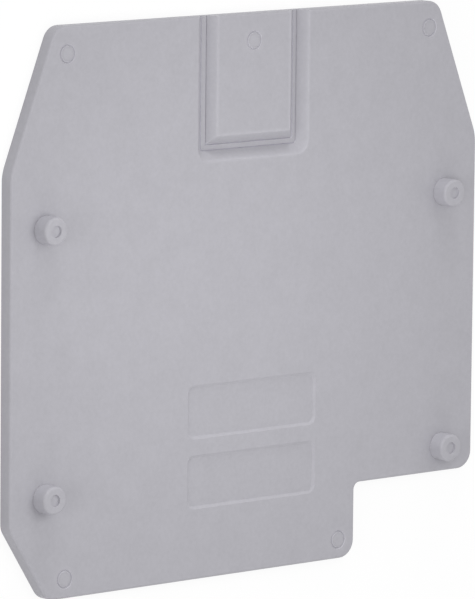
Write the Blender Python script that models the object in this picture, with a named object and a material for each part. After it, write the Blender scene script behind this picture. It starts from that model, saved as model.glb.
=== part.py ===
"""Separator plate for a row of rail-mounted terminals, moulded in one piece.

A thin flat plate with two sloping shoulders, a cut lower corner and a step that clears
the rail. Four short pegs on its front plug into the housing next to it. A raised pad in
a U-shaped groove runs out at the top edge, and two shallow fields below it take labels.
The plate lies on its plain back: X across it, Y up it, Z out of its front face.
Lengths are in metres, and the origin is below the middle of the plate, at its back.
"""
import math

import bmesh
import bpy
from mathutils import Vector

# Plate outline, seen from the front
PLATE_WIDTH = 0.0646
PLATE_HEIGHT = 0.0600
PLATE_THICKNESS = 0.00155
SHOULDER_CUT_WIDTH = 0.0058
SHOULDER_CUT_HEIGHT = 0.0150
FOOT_CUT_WIDTH = 0.0050
FOOT_CUT_HEIGHT = 0.0079
STEP_WIDTH = 0.0171
STEP_HEIGHT = 0.0081
CORNER_RADIUS = 0.0019
SHOULDER_RADIUS = 0.0050
STEP_INNER_RADIUS = 0.0008
RIM_RADIUS = 0.00028

# Locating pegs, two rows of two
PEG_DIAMETER = 0.0030
PEG_HEIGHT = 0.0018
PEG_SIDE_INSET = 0.00463
PEG_LOWER_ROW = 0.0109
PEG_ROW_PITCH = 0.02813
PEG_TIP_RADIUS = 0.00030
PEG_HOLE_DIAMETER = 0.00124
PEG_HOLE_DEPTH = 0.00027
PEG_SINK_WIDTH = 0.00035
PEG_SINK_DEPTH = 0.00006

# Pad at the top edge and the groove that runs round it
MARKING_CENTRE = 0.0326
PAD_WIDTH = 0.0102
PAD_LENGTH = 0.0128
PAD_CORNER_RADIUS = 0.00020
PAD_SLOPE_WIDTH = 0.00083
PAD_SLOPE_DEPTH = 0.00079
GROOVE_FLOOR_WIDTH = 0.00048
GROOVE_OUTER_WIDTH = 0.00101
GROOVE_OUTER_DEPTH = 0.00090
GROOVE_LINE_WIDTH = 0.00013
GROOVE_LINE_DEPTH = 0.00016
GROOVE_CORNER_RADIUS = 0.0014
GROOVE_EDGE_RADIUS = 0.00015

# Label fields, one above the other
LABEL_CENTRE = 0.0328
LABEL_WIDTH = 0.0179
LABEL_HEIGHT = 0.0058
LABEL_DEPTH = 0.00018
LABEL_WALL_RUN = 0.00030
LABEL_CORNER_RADIUS = 0.0009
LABEL_LOWER_EDGE = 0.0076
LABEL_PITCH = 0.0075

# Fine circular lines that the ejector pins of the mould leave
PIN_MARK_DIAMETER = 0.00185
PIN_MARK_LINE_WIDTH = 0.00026
PIN_MARK_DEPTH = 0.00014
PIN_MARK_LEFT_INSET = 0.00736
PIN_MARK_RIGHT_INSET = 0.0071
PIN_MARK_TOP_INSET = 0.00288
PIN_MARK_FOOT_INSET = 0.00208
PIN_MARK_STEP_INSET = 0.00228

# Fineness of the round stretches, and how far a cutter stands clear of the face it cuts
CORNER_STEPS = 8
RIM_STEPS = 4
FILLET_STEPS = 4
TURN_STEPS = 32
CUTTER_CLEARANCE = 0.0002

PLASTIC_COLOR = (0.456, 0.451, 0.491, 1.0)


def on_plate(x, y, z):
    """A point measured from the plate's lower left corner, in the part's own frame."""
    return Vector((x - PLATE_WIDTH / 2, y - PLATE_HEIGHT / 2, z))


def new_object(name, bm):
    """Close the mesh's normals outwards, shade its round stretches and name it."""
    bmesh.ops.recalc_face_normals(bm, faces=bm.faces)
    mesh = bpy.data.meshes.new(name)
    bm.to_mesh(mesh)
    bm.free()
    mesh.shade_smooth()
    mesh.set_sharp_from_angle(angle=math.radians(35))
    obj = bpy.data.objects.new(name, mesh)
    bpy.context.scene.collection.objects.link(obj)
    return obj


def rounded_outline(corners, steps=CORNER_STEPS):
    """Points round a polygon whose corners (x, y, radius) are rounded by arcs."""
    points = []
    count = len(corners)
    for index, (x, y, radius) in enumerate(corners):
        here = Vector((x, y))
        before = Vector(corners[index - 1][:2])
        after = Vector(corners[(index + 1) % count][:2])
        back = (before - here).normalized()
        forth = (after - here).normalized()
        half_angle = back.angle(forth) / 2
        centre = here + (back + forth).normalized() * radius / math.sin(half_angle)
        start = here + back * radius / math.tan(half_angle) - centre
        turn = start.angle_signed(here + forth * radius / math.tan(half_angle) - centre)
        for step in range(steps + 1):
            angle = -turn * step / steps
            spoke = Vector((
                start.x * math.cos(angle) - start.y * math.sin(angle),
                start.x * math.sin(angle) + start.y * math.cos(angle),
            ))
            points.append(centre + spoke)
    return points


def loft(bm, rings):
    """A closed solid through rings of equally many points, with flat ends."""
    loops = [[bm.verts.new(point) for point in ring] for ring in rings]
    count = len(loops[0])
    for lower, upper in zip(loops, loops[1:]):
        for index in range(count):
            after = (index + 1) % count
            bm.faces.new((lower[index], lower[after], upper[after], upper[index]))
    bm.faces.new(reversed(loops[0]))
    bm.faces.new(loops[-1])


def plate_corners():
    """The plate's outline, anticlockwise from the left end of its lower edge."""
    step_x = PLATE_WIDTH - STEP_WIDTH
    shoulder_y = PLATE_HEIGHT - SHOULDER_CUT_HEIGHT
    return [
        (FOOT_CUT_WIDTH, 0, CORNER_RADIUS),
        (step_x, 0, CORNER_RADIUS),
        (step_x, STEP_HEIGHT, STEP_INNER_RADIUS),
        (PLATE_WIDTH, STEP_HEIGHT, CORNER_RADIUS),
        (PLATE_WIDTH, shoulder_y, SHOULDER_RADIUS),
        (PLATE_WIDTH - SHOULDER_CUT_WIDTH, PLATE_HEIGHT, CORNER_RADIUS),
        (SHOULDER_CUT_WIDTH, PLATE_HEIGHT, CORNER_RADIUS),
        (0, shoulder_y, SHOULDER_RADIUS),
        (0, FOOT_CUT_HEIGHT, CORNER_RADIUS),
    ]


def make_plate():
    """The flat plate: its outline drawn up to the thickness, with a rounded front rim."""
    bm = bmesh.new()
    outline = rounded_outline(plate_corners())
    back = bm.faces.new([bm.verts.new(on_plate(x, y, 0)) for x, y in outline])
    drawn = bmesh.ops.extrude_face_region(bm, geom=[back])["geom"]
    front = [item for item in drawn if isinstance(item, bmesh.types.BMFace)][0]
    bmesh.ops.translate(bm, verts=front.verts, vec=(0, 0, PLATE_THICKNESS))
    bmesh.ops.bevel(
        bm, geom=list(front.edges), offset=RIM_RADIUS, offset_type="OFFSET",
        segments=RIM_STEPS, profile=0.5, affect="EDGES",
    )
    return new_object("separator_plate", bm)


def peg_profile(root_z):
    """Half section of a peg as (radius, height above the face), from its root to its hole."""
    radius = PEG_DIAMETER / 2
    hole_radius = PEG_HOLE_DIAMETER / 2
    floor_z = PEG_HEIGHT - PEG_HOLE_DEPTH
    profile = [(0, root_z), (radius, root_z)]
    for step in range(FILLET_STEPS + 1):
        angle = math.pi / 2 * step / FILLET_STEPS
        profile.append((
            radius - PEG_TIP_RADIUS * (1 - math.cos(angle)),
            PEG_HEIGHT - PEG_TIP_RADIUS * (1 - math.sin(angle)),
        ))
    return profile + [(hole_radius, PEG_HEIGHT), (hole_radius, floor_z), (0, floor_z)]


def add_peg(bm, x, y):
    """One peg, turned from its half section, with its root sunk in the plate."""
    profile = peg_profile(root_z=-PLATE_THICKNESS / 2)
    verts = [bm.verts.new(on_plate(x + r, y, PLATE_THICKNESS + z)) for r, z in profile]
    edges = [bm.edges.new(pair) for pair in zip(verts, verts[1:])]
    bmesh.ops.spin(
        bm, geom=verts + edges, cent=on_plate(x, y, 0), axis=(0, 0, 1),
        angle=2 * math.pi, steps=TURN_STEPS, use_merge=True, use_duplicate=False,
    )


def peg_places():
    """The four pegs' centres, at the same inset from both sides of the plate."""
    rows = (PEG_LOWER_ROW, PEG_LOWER_ROW + PEG_ROW_PITCH)
    return [(x, y) for x in (PEG_SIDE_INSET, PLATE_WIDTH - PEG_SIDE_INSET) for y in rows]


def make_pegs():
    """The four pegs."""
    bm = bmesh.new()
    for x, y in peg_places():
        add_peg(bm, x, y)
    bmesh.ops.remove_doubles(bm, verts=bm.verts, dist=1e-7)
    return new_object("pegs", bm)


def rounded_edge(width, steepness):
    """The edge between a slope and the face as (distance along the face, depth) points.

    The distance is measured outwards from the line where the slope would meet the face.
    """
    reach = min(GROOVE_EDGE_RADIUS * math.tan(steepness / 2), 0.4 * width)
    radius = reach / math.tan(steepness / 2)
    return [
        (
            reach - radius * math.sin(steepness * step / FILLET_STEPS),
            radius * (1 - math.cos(steepness * step / FILLET_STEPS)),
        )
        for step in range(FILLET_STEPS + 1)
    ]


def groove_section():
    """The groove across its length as (distance from the pad, depth, corner radius)."""
    floor_start = PAD_SLOPE_WIDTH + GROOVE_LINE_WIDTH
    floor_end = floor_start + GROOVE_FLOOR_WIDTH
    outer_foot = floor_end + GROOVE_LINE_WIDTH
    lip = outer_foot + GROOVE_OUTER_WIDTH
    pad_edge = rounded_edge(PAD_SLOPE_WIDTH, math.atan2(PAD_SLOPE_DEPTH, PAD_SLOPE_WIDTH))
    outer_edge = rounded_edge(
        GROOVE_OUTER_WIDTH, math.atan2(GROOVE_OUTER_DEPTH, GROOVE_OUTER_WIDTH),
    )
    points = [(-pad_edge[0][0], -CUTTER_CLEARANCE)]
    points += [(-run, depth) for run, depth in pad_edge]
    points += [
        (PAD_SLOPE_WIDTH, PAD_SLOPE_DEPTH),
        (PAD_SLOPE_WIDTH + GROOVE_LINE_WIDTH / 2, PAD_SLOPE_DEPTH + GROOVE_LINE_DEPTH),
        (floor_start, PAD_SLOPE_DEPTH),
        (floor_end, GROOVE_OUTER_DEPTH),
        (floor_end + GROOVE_LINE_WIDTH / 2, GROOVE_OUTER_DEPTH + GROOVE_LINE_DEPTH),
        (outer_foot, GROOVE_OUTER_DEPTH),
    ]
    points += [(lip + run, depth) for run, depth in reversed(outer_edge)]
    points.append((lip + outer_edge[0][0], -CUTTER_CLEARANCE))
    section = []
    for distance, depth in points:
        radius = max(GROOVE_CORNER_RADIUS - lip + distance, PAD_CORNER_RADIUS)
        section.append((distance, depth, radius))
    return section


def groove_path(distance, corner_radius):
    """The U round the pad at a distance from it, from one end at the top to the other."""
    half_width = PAD_WIDTH / 2 + distance
    left = MARKING_CENTRE - half_width
    right = MARKING_CENTRE + half_width
    low = PLATE_HEIGHT - PAD_LENGTH - distance
    high = PLATE_HEIGHT + CUTTER_CLEARANCE
    path = [(left, high)]
    for centre_x, first in ((left + corner_radius, math.pi), (right - corner_radius, 1.5 * math.pi)):
        for step in range(CORNER_STEPS + 1):
            angle = first + math.pi / 2 * step / CORNER_STEPS
            path.append((
                centre_x + corner_radius * math.cos(angle),
                low + corner_radius * (1 + math.sin(angle)),
            ))
    path.append((right, high))
    return path


def add_groove(bm):
    """The U-shaped groove: a narrow floor between two slopes, with a fine line at each foot."""
    tracks = []
    for distance, depth, corner_radius in groove_section():
        path = groove_path(distance, corner_radius)
        tracks.append([on_plate(x, y, PLATE_THICKNESS - depth) for x, y in path])
    loft(bm, [list(ring) for ring in zip(*tracks)])


def add_label_field(bm, lower_edge):
    """A shallow rounded rectangle with leaning walls."""
    rings = []
    for depth in (LABEL_DEPTH, -CUTTER_CLEARANCE):
        inset = LABEL_WALL_RUN * depth / LABEL_DEPTH
        left = LABEL_CENTRE - LABEL_WIDTH / 2 + inset
        right = LABEL_CENTRE + LABEL_WIDTH / 2 - inset
        low = lower_edge + inset
        high = lower_edge + LABEL_HEIGHT - inset
        radius = LABEL_CORNER_RADIUS - inset
        ends = ((left, low), (right, low), (right, high), (left, high))
        outline = rounded_outline([(x, y, radius) for x, y in ends])
        rings.append([on_plate(x, y, PLATE_THICKNESS - depth) for x, y in outline])
    loft(bm, rings)


def add_ring_line(bm, x, y, inner, deepest, outer, depth):
    """A shallow ring in the face, V-shaped in section, with three radii across it."""
    top_z = PLATE_THICKNESS + CUTTER_CLEARANCE
    section = [
        (inner, PLATE_THICKNESS), (deepest, PLATE_THICKNESS - depth), (outer, PLATE_THICKNESS),
        (outer, top_z), (inner, top_z),
    ]
    verts = [bm.verts.new(on_plate(x + r, y, z)) for r, z in section]
    edges = [bm.edges.new((verts[index - 1], verts[index])) for index in range(len(verts))]
    bmesh.ops.spin(
        bm, geom=verts + edges, cent=on_plate(x, y, 0), axis=(0, 0, 1),
        angle=2 * math.pi, steps=TURN_STEPS, use_merge=True, use_duplicate=False,
    )


def make_recesses():
    """Everything that is sunk into the front face."""
    bm = bmesh.new()
    add_groove(bm)
    for lower_edge in (LABEL_LOWER_EDGE, LABEL_LOWER_EDGE + LABEL_PITCH):
        add_label_field(bm, lower_edge)
    top_y = PLATE_HEIGHT - PIN_MARK_TOP_INSET
    step_x = PLATE_WIDTH - STEP_WIDTH
    marks = [(x, top_y) for x in (PIN_MARK_LEFT_INSET, MARKING_CENTRE)]
    marks.append((PLATE_WIDTH - PIN_MARK_RIGHT_INSET, top_y))
    marks.append((PIN_MARK_LEFT_INSET, PIN_MARK_FOOT_INSET))
    marks.append((step_x - PIN_MARK_STEP_INSET, PIN_MARK_FOOT_INSET))
    radius = PIN_MARK_DIAMETER / 2
    half_width = PIN_MARK_LINE_WIDTH / 2
    for x, y in marks:
        add_ring_line(bm, x, y, radius - half_width, radius, radius + half_width, PIN_MARK_DEPTH)
    radius = PEG_DIAMETER / 2
    for x, y in peg_places():
        add_ring_line(bm, x, y, radius / 2, radius, radius + PEG_SINK_WIDTH, PEG_SINK_DEPTH)
    bmesh.ops.remove_doubles(bm, verts=bm.verts, dist=1e-7)
    return new_object("recesses", bm)


def join_or_cut(target, tool, operation):
    """Add the tool's shape to the target, or take it away, and keep the tool as a guide."""
    modifier = target.modifiers.new(tool.name, "BOOLEAN")
    modifier.operation = operation
    modifier.solver = "EXACT"
    modifier.object = tool
    tool.parent = target
    tool.hide_render = True
    tool.display_type = "WIRE"


def grey_polyamide():
    """The bluish grey of the moulding, with the dull sheen of filled polyamide."""
    material = bpy.data.materials.new("grey_polyamide")
    material.use_nodes = True
    shader = material.node_tree.nodes["Principled BSDF"]
    shader.inputs["Base Color"].default_value = PLASTIC_COLOR
    shader.inputs["Metallic"].default_value = 0.0
    shader.inputs["Roughness"].default_value = 0.5
    return material


for obj in list(bpy.data.objects):
    bpy.data.objects.remove(obj)

plate = make_plate()
plate.data.materials.append(grey_polyamide())
join_or_cut(plate, make_recesses(), "DIFFERENCE")
join_or_cut(plate, make_pegs(), "UNION")
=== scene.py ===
import math

import bmesh
import bpy
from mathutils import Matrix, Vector


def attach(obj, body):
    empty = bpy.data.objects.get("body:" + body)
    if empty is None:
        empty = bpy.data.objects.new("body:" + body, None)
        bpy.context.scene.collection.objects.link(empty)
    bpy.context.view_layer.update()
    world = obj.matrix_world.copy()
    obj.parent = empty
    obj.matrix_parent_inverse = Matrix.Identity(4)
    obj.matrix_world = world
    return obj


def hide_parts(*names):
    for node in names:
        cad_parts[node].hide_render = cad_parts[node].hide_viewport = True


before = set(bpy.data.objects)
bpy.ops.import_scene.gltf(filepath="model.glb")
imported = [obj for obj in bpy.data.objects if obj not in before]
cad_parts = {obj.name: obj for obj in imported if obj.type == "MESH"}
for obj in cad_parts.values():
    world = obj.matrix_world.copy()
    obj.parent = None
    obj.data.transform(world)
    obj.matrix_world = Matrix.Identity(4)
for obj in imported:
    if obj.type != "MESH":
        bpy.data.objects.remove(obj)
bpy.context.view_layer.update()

# Moulded plate
#
# One injection moulding of bluish grey filled polyamide. The mould's faces were spark
# eroded, so the skin has a fine even grain and a dull sheen, and its edges are a little
# rounded.

MERGE_WITHIN = 0.0000002
FLAT_BEND = math.radians(0.4)
SHARP_BEND = math.radians(24)
SAME_LEVEL = 0.000002
EDGE_ROUNDING = 0.00006
PEG_TOP = 0.00335
PEG_HOLE_FLOOR = 0.00308
PEG_FOOT = 0.00149
LABEL_FLOOR = 0.00137
ROUNDED_LEVELS = (LABEL_FLOOR, PEG_FOOT, PEG_HOLE_FLOOR, PEG_TOP)

cad_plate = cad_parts["separator_plate"]
plate = bpy.data.objects.new("moulded_plate", cad_plate.data.copy())
bpy.context.scene.collection.objects.link(plate)
plate.data.transform(cad_plate.matrix_world)

bm = bmesh.new()
bm.from_mesh(plate.data)
bmesh.ops.remove_doubles(bm, verts=bm.verts, dist=MERGE_WITHIN)
bmesh.ops.recalc_face_normals(bm, faces=bm.faces)
bmesh.ops.dissolve_limit(
    bm, angle_limit=FLAT_BEND, verts=bm.verts, edges=bm.edges, delimit={"NORMAL"},
)

# Edges with a sharp bend stay sharp, apart from those at the pegs' holes and feet and
# along the floors of the label fields, which get a rounding.
for face in bm.faces:
    face.smooth = True
weight = bm.edges.layers.float.new("bevel_weight_edge")
for edge in bm.edges:
    heights = [vert.co.z for vert in edge.verts]
    rounded = any(
        max(abs(height - level) for height in heights) < SAME_LEVEL for level in ROUNDED_LEVELS
    )
    bent = abs(edge.calc_face_angle_signed(0.0)) > SHARP_BEND
    edge[weight] = float(bent and rounded)
    edge.smooth = rounded or not bent
bm.to_mesh(plate.data)
bm.free()

bpy.ops.object.select_all(action="DESELECT")
bpy.context.view_layer.objects.active = plate
plate.select_set(True)
rounding = plate.modifiers.new("edge rounding", "BEVEL")
rounding.width = EDGE_ROUNDING
rounding.segments = 3
rounding.limit_method = "WEIGHT"
rounding.use_clamp_overlap = False
bpy.ops.object.modifier_apply(modifier=rounding.name)

# Each face gets a tone of painted light or shade, which the material multiplies its colour
# by. A steep or leaning wall is told by how far up its normal points, and a crease by a
# bend far below zero.
PLAIN_TONE = 1.0
FOOT_CREASE_PAINTED_SHADE = 0.8
LINE_WALL_PAINTED_LIGHT = 1.35
LINE_WALL_UNDER_LEFT_SLOPE_PAINTED_LIGHT = 1.08
PIN_WALL_PAINTED_LIGHT = 1.16
HOLE_FLOOR_PAINTED_LIGHT = 1.09
PAD_CENTRE = 0.0003
BETWEEN_FINE_LINES = 0.0063
FINE_LINES_BELOW = 0.0008
PIN_WALLS_ABOVE = 0.00139
PIN_WALLS_BELOW = 0.00149
STEEPEST_WALL = 0.2
STEEP_WALL = 0.6
LEANING_WALL = 0.75
LEVEL_FACE = 0.99
SIDE_WALL = 0.1
CREASE_BEND = -9000.0
SMALLEST_AREA = 1e-14


def painted_tone_of(face):
    """The painted tone of a face, where 1 is plain skin, less is painted shade and more is painted
    light.
    """
    turn = sum(
        edge.calc_face_angle_signed(0.0) * edge.calc_length()
        for edge in face.edges if edge.is_manifold
    )
    bend = turn / max(face.calc_area(), SMALLEST_AREA)
    centre = face.calc_center_median()
    across = centre.x - PAD_CENTRE
    upward = face.normal.z

    # The crease round the pegs' feet gets painted shade. It is the only crease at its height.
    if bend < CREASE_BEND and abs(centre.z - PEG_FOOT) < EDGE_ROUNDING:
        return FOOT_CREASE_PAINTED_SHADE

    # The walls of the groove's two fine lines get painted light that lifts the shade in them,
    # less so under a slope that faces left, where the inner line is left of the pad and the
    # outer line is right of it.
    if STEEPEST_WALL < upward < STEEP_WALL and centre.z < FINE_LINES_BELOW:
        inner_line = abs(across) < BETWEEN_FINE_LINES
        side_wall = abs(face.normal.y) < SIDE_WALL
        if side_wall and (across < 0.0) == inner_line:
            return LINE_WALL_UNDER_LEFT_SLOPE_PAINTED_LIGHT
        return LINE_WALL_PAINTED_LIGHT

    # The walls of the pin marks get painted light that lifts the shade in them.
    if STEEP_WALL < upward < LEANING_WALL and PIN_WALLS_ABOVE < centre.z < PIN_WALLS_BELOW:
        return PIN_WALL_PAINTED_LIGHT

    # The floors of the pegs' holes get painted light that lifts the shade in them.
    if upward > LEVEL_FACE and abs(centre.z - PEG_HOLE_FLOOR) < SAME_LEVEL:
        return HOLE_FLOOR_PAINTED_LIGHT
    return PLAIN_TONE


bm = bmesh.new()
bm.from_mesh(plate.data)
painted_tone = bm.faces.layers.float.new("painted_tone")
for face in bm.faces:
    face[painted_tone] = painted_tone_of(face)
bm.to_mesh(plate.data)
bm.free()

smoothing = plate.modifiers.new("flat faces", "WEIGHTED_NORMAL")
smoothing.mode = "FACE_AREA"
smoothing.weight = 100
smoothing.keep_sharp = True
bpy.ops.object.modifier_apply(modifier=smoothing.name)


class Socket:
    """A shader socket that expressions can add, subtract and multiply."""

    def __init__(self, tree, socket):
        self.tree = tree
        self.socket = socket

    def maths(self, operation, *others):
        return self.tree.add(
            "ShaderNodeMath", {"operation": operation}, dict(enumerate((self,) + others)),
        )

    def other(self, name):
        """Another output of the same node."""
        return Socket(self.tree, self.socket.node.outputs[name])

    def __add__(self, other):
        return self.maths("ADD", other)

    def __sub__(self, other):
        return self.maths("SUBTRACT", other)

    def __rsub__(self, other):
        return self.tree.add("ShaderNodeMath", {"operation": "SUBTRACT"}, {0: other, 1: self})

    def __mul__(self, other):
        return self.maths("MULTIPLY", other)

    __radd__ = __add__
    __rmul__ = __mul__


class Tree:
    """The emptied node tree of a material or a world, which add fills."""

    def __init__(self, owner):
        owner.use_nodes = True
        self.nodes = owner.node_tree.nodes
        self.links = owner.node_tree.links
        self.nodes.clear()

    def add(self, kind, settings=None, inputs=None, output=0):
        """Make a node, set it, then set or link its inputs, and give one of its outputs."""
        node = self.nodes.new(kind)
        for name, value in (settings or {}).items():
            setattr(node, name, value)
        for name, value in (inputs or {}).items():
            if isinstance(value, Socket):
                self.links.new(value.socket, node.inputs[name])
            else:
                node.inputs[name].default_value = value
        return Socket(self, node.outputs[output]) if node.outputs else None


skin = bpy.data.materials.new("grey_polyamide")
tree = Tree(skin)
where = tree.add("ShaderNodeTexCoord", output="Object")


def noise(scale, detail):
    """Noise round zero, over the plate's own coordinates."""
    inputs = {"Vector": where, "Scale": scale, "Detail": detail}
    return tree.add("ShaderNodeTexNoise", None, inputs) - 0.5


def band(distance, reach, strength):
    """A soft line of the given strength where the distance is zero."""
    inputs = {
        "Value": distance.maths("ABSOLUTE"), "From Min": reach, "From Max": 0.0, "To Max": strength,
    }
    return tree.add("ShaderNodeMapRange", {"interpolation_type": "SMOOTHSTEP"}, inputs)


cloud = noise(scale=110.0, detail=2.0)
mottle = noise(scale=430.0, detail=1.0)
pits = noise(scale=2300.0, detail=1.0)
grain = noise(scale=5200.0, detail=2.0)
uneven = cloud * 0.02 + mottle * 0.07 + pits * 0.11 + grain * 0.05

# The pad's edge and the groove's outer lip get a painted highlight, the lip not on its left.
# Both are found by their distance in plan from an outline that is open at the top.
PAD_HALF_WIDTH = 0.0051
PAD_LOW = 0.0172
LIP_HALF_WIDTH = 0.00768
LIP_LOW = 0.01462
LIP_CORNER_RADIUS = 0.0014
LEFT_LIP_PLAIN = -0.0072
LIP_HIGHLIGHT_FULL_FROM = -0.0058
HIGHLIGHT_INSIDE_PAD = 0.00012
HIGHLIGHT_REACH = 0.00032

x = tree.add("ShaderNodeSeparateXYZ", None, {"Vector": where})
y = x.other("Y")
aside = (x - PAD_CENTRE).maths("ABSOLUTE")
from_pad = (aside - PAD_HALF_WIDTH).maths("MAXIMUM", PAD_LOW - y)
round_side = (aside - (LIP_HALF_WIDTH - LIP_CORNER_RADIUS)).maths("MAXIMUM", 0.0)
round_low = ((LIP_LOW + LIP_CORNER_RADIUS) - y).maths("MAXIMUM", 0.0)
from_lip = (round_side * round_side + round_low * round_low).maths("SQRT") - LIP_CORNER_RADIUS
past_left_lip = tree.add(
    "ShaderNodeMapRange", {"interpolation_type": "SMOOTHSTEP"},
    {"Value": x, "From Min": LEFT_LIP_PLAIN, "From Max": LIP_HIGHLIGHT_FULL_FROM},
)
pad_edge_painted_highlight = band(from_pad + HIGHLIGHT_INSIDE_PAD, HIGHLIGHT_REACH, strength=0.075)
lip_painted_highlight = band(from_lip, HIGHLIGHT_REACH, strength=0.06) * past_left_lip

# Round each pin mark a painted shade darkens the skin just inside the line and a painted highlight
# lightens it outside.
PIN_MARKS = [
    (-0.02494, 0.02712),
    (0.0003, 0.02712),
    (0.0252, 0.02712),
    (-0.02494, -0.02792),
    (0.01292, -0.02792),
]
PIN_MARK_RADIUS = 0.000925
DARK_RING = PIN_MARK_RADIUS * 0.8
LIGHT_RING = PIN_MARK_RADIUS * 1.35
RING_REACH = 0.00026

from_pin = 1.0
for mark_x, mark_y in PIN_MARKS:
    run_x = x - mark_x
    run_y = y - mark_y
    from_pin = (run_x * run_x + run_y * run_y).maths("SQRT").maths("MINIMUM", from_pin)
pin_ring_painted_shade = band(from_pin - DARK_RING, RING_REACH, strength=-0.05)
pin_ring_painted_highlight = band(from_pin - LIGHT_RING, RING_REACH, strength=0.02)

PLATE_GREY = (0.458, 0.451, 0.490, 1.0)

# The faces' painted light and shade, the skin's random grain, the painted highlights on the pad's
# edge and lip, and the painted shade and highlight round the pin marks all scale the plate's grey.
painted_tone = tree.add("ShaderNodeAttribute", {"attribute_name": "painted_tone"}, None, "Fac")
shade = painted_tone * (1.0 + uneven + (pad_edge_painted_highlight + lip_painted_highlight) + (pin_ring_painted_shade + pin_ring_painted_highlight))
grey = tree.add("ShaderNodeCombineColor", None, {"Red": shade, "Green": shade, "Blue": shade})
tint = tree.add(
    "ShaderNodeMix", {"data_type": "RGBA", "blend_type": "MULTIPLY"},
    {"Factor": 1.0, "A": PLATE_GREY, "B": grey}, "Result",
)
bump = tree.add(
    "ShaderNodeBump", None,
    {"Height": grain * 0.6 + pits * 0.4, "Strength": 0.35, "Distance": 0.00001},
)
plastic = tree.add(
    "ShaderNodeBsdfPrincipled", None,
    {"Base Color": tint, "Roughness": 0.47 + cloud * 0.08 + grain * 0.1, "Normal": bump, "IOR": 1.53},
)
tree.add("ShaderNodeOutputMaterial", None, {"Surface": plastic})
plate.data.materials.clear()
plate.data.materials.append(skin)

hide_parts("separator_plate")
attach(plate, "root")

# Floor and room
#
# A pale floor under the plate and an even white room round it. To the camera and in
# reflections both are plain white, with the plate's soft shadow on the floor.

FLOOR_SIZE = 8.0
FLOOR_GAP = 0.00001
WHITE = (1.0, 1.0, 1.0, 1.0)
FLOOR_GREY = (0.5, 0.5, 0.5, 1.0)
FLOOR_WHITE = 1.19
FLOOR_SHARE = 0.75
WORLD_LEVEL = 0.551


def seen_rays(tree):
    """1 for what the camera sees, directly, mirrored or through glass, and 0 for other light."""
    camera = tree.add("ShaderNodeLightPath", output="Is Camera Ray")
    glossy = camera.other("Is Glossy Ray")
    return camera.maths("MAXIMUM", glossy).maths("MAXIMUM", camera.other("Is Transmission Ray"))


bpy.ops.object.select_all(action="DESELECT")
bpy.ops.mesh.primitive_plane_add(size=FLOOR_SIZE, location=(0.0, 0.0, -FLOOR_GAP))
floor = bpy.context.object
floor.name = "floor"
paint = bpy.data.materials.new("pale_floor")
tree = Tree(paint)
matt = tree.add("ShaderNodeBsdfDiffuse", None, {"Color": FLOOR_GREY})
lit = tree.add("ShaderNodeEmission", None, {"Color": WHITE, "Strength": FLOOR_WHITE})
both = tree.add("ShaderNodeMixShader", None, {0: seen_rays(tree) * FLOOR_SHARE, 1: matt, 2: lit})
tree.add("ShaderNodeOutputMaterial", None, {"Surface": both})
floor.data.materials.append(paint)

world = bpy.data.worlds.new("white_room")
bpy.context.scene.world = world
tree = Tree(world)
level = WORLD_LEVEL + seen_rays(tree) * (1.0 - WORLD_LEVEL)
air = tree.add("ShaderNodeBackground", None, {"Color": WHITE, "Strength": level})
tree.add("ShaderNodeOutputWorld", None, {"Surface": air})

# Lamps
#
# Even room light, with soft lamps round the plate and one close over it. The two lowest
# and the close one aren't mirrored in the plate, where they would glare in some views.


def soft_lamp(name, place, size, power, mirrored=True):
    """A square lamp at the given place that faces the plate's middle, unseen itself."""
    data = bpy.data.lights.new(name, "AREA")
    data.shape = "SQUARE"
    data.size = size
    data.energy = power
    lamp = bpy.data.objects.new(name, data)
    bpy.context.scene.collection.objects.link(lamp)
    lamp.location = place
    lamp.rotation_mode = "QUATERNION"
    lamp.rotation_quaternion = Vector(place).to_track_quat("Z", "Y")
    lamp.visible_camera = False
    lamp.visible_glossy = mirrored


soft_lamp("top_lamp", (0.0, 1.48, 0.26), size=0.5, power=5.81, mirrored=False)
soft_lamp("left_lamp", (-0.577, 0.0, 0.165), size=0.3, power=0.737, mirrored=False)
soft_lamp("lower_lamp", (0.0, -1.42, 0.48), size=0.8, power=2.52)
soft_lamp("upper_right_lamp", (0.866, 0.866, 0.866), size=0.8, power=1.18)
soft_lamp("near_lamp", (-0.012, 0.006, 0.060), size=0.04, power=0.01146, mirrored=False)

# Camera
#
# A long lens from the plate's left, looking down on it at the photograph's angle.

LENS = 356.16
CAMERA_PLACE = (-0.404369, 0.088145, 0.476797)
CAMERA_TURN_DEGREES = (-8.5703, -40.1899, 0.7433)

camera_data = bpy.data.cameras.new("camera")
camera_data.lens = LENS
camera_data.clip_start = 0.05
camera_data.clip_end = 20.0
camera = bpy.data.objects.new("camera", camera_data)
bpy.context.scene.collection.objects.link(camera)
camera.location = CAMERA_PLACE
camera.rotation_euler = tuple(math.radians(angle) for angle in CAMERA_TURN_DEGREES)
bpy.context.scene.camera = camera
bpy.context.scene.view_settings.view_transform = "Standard"
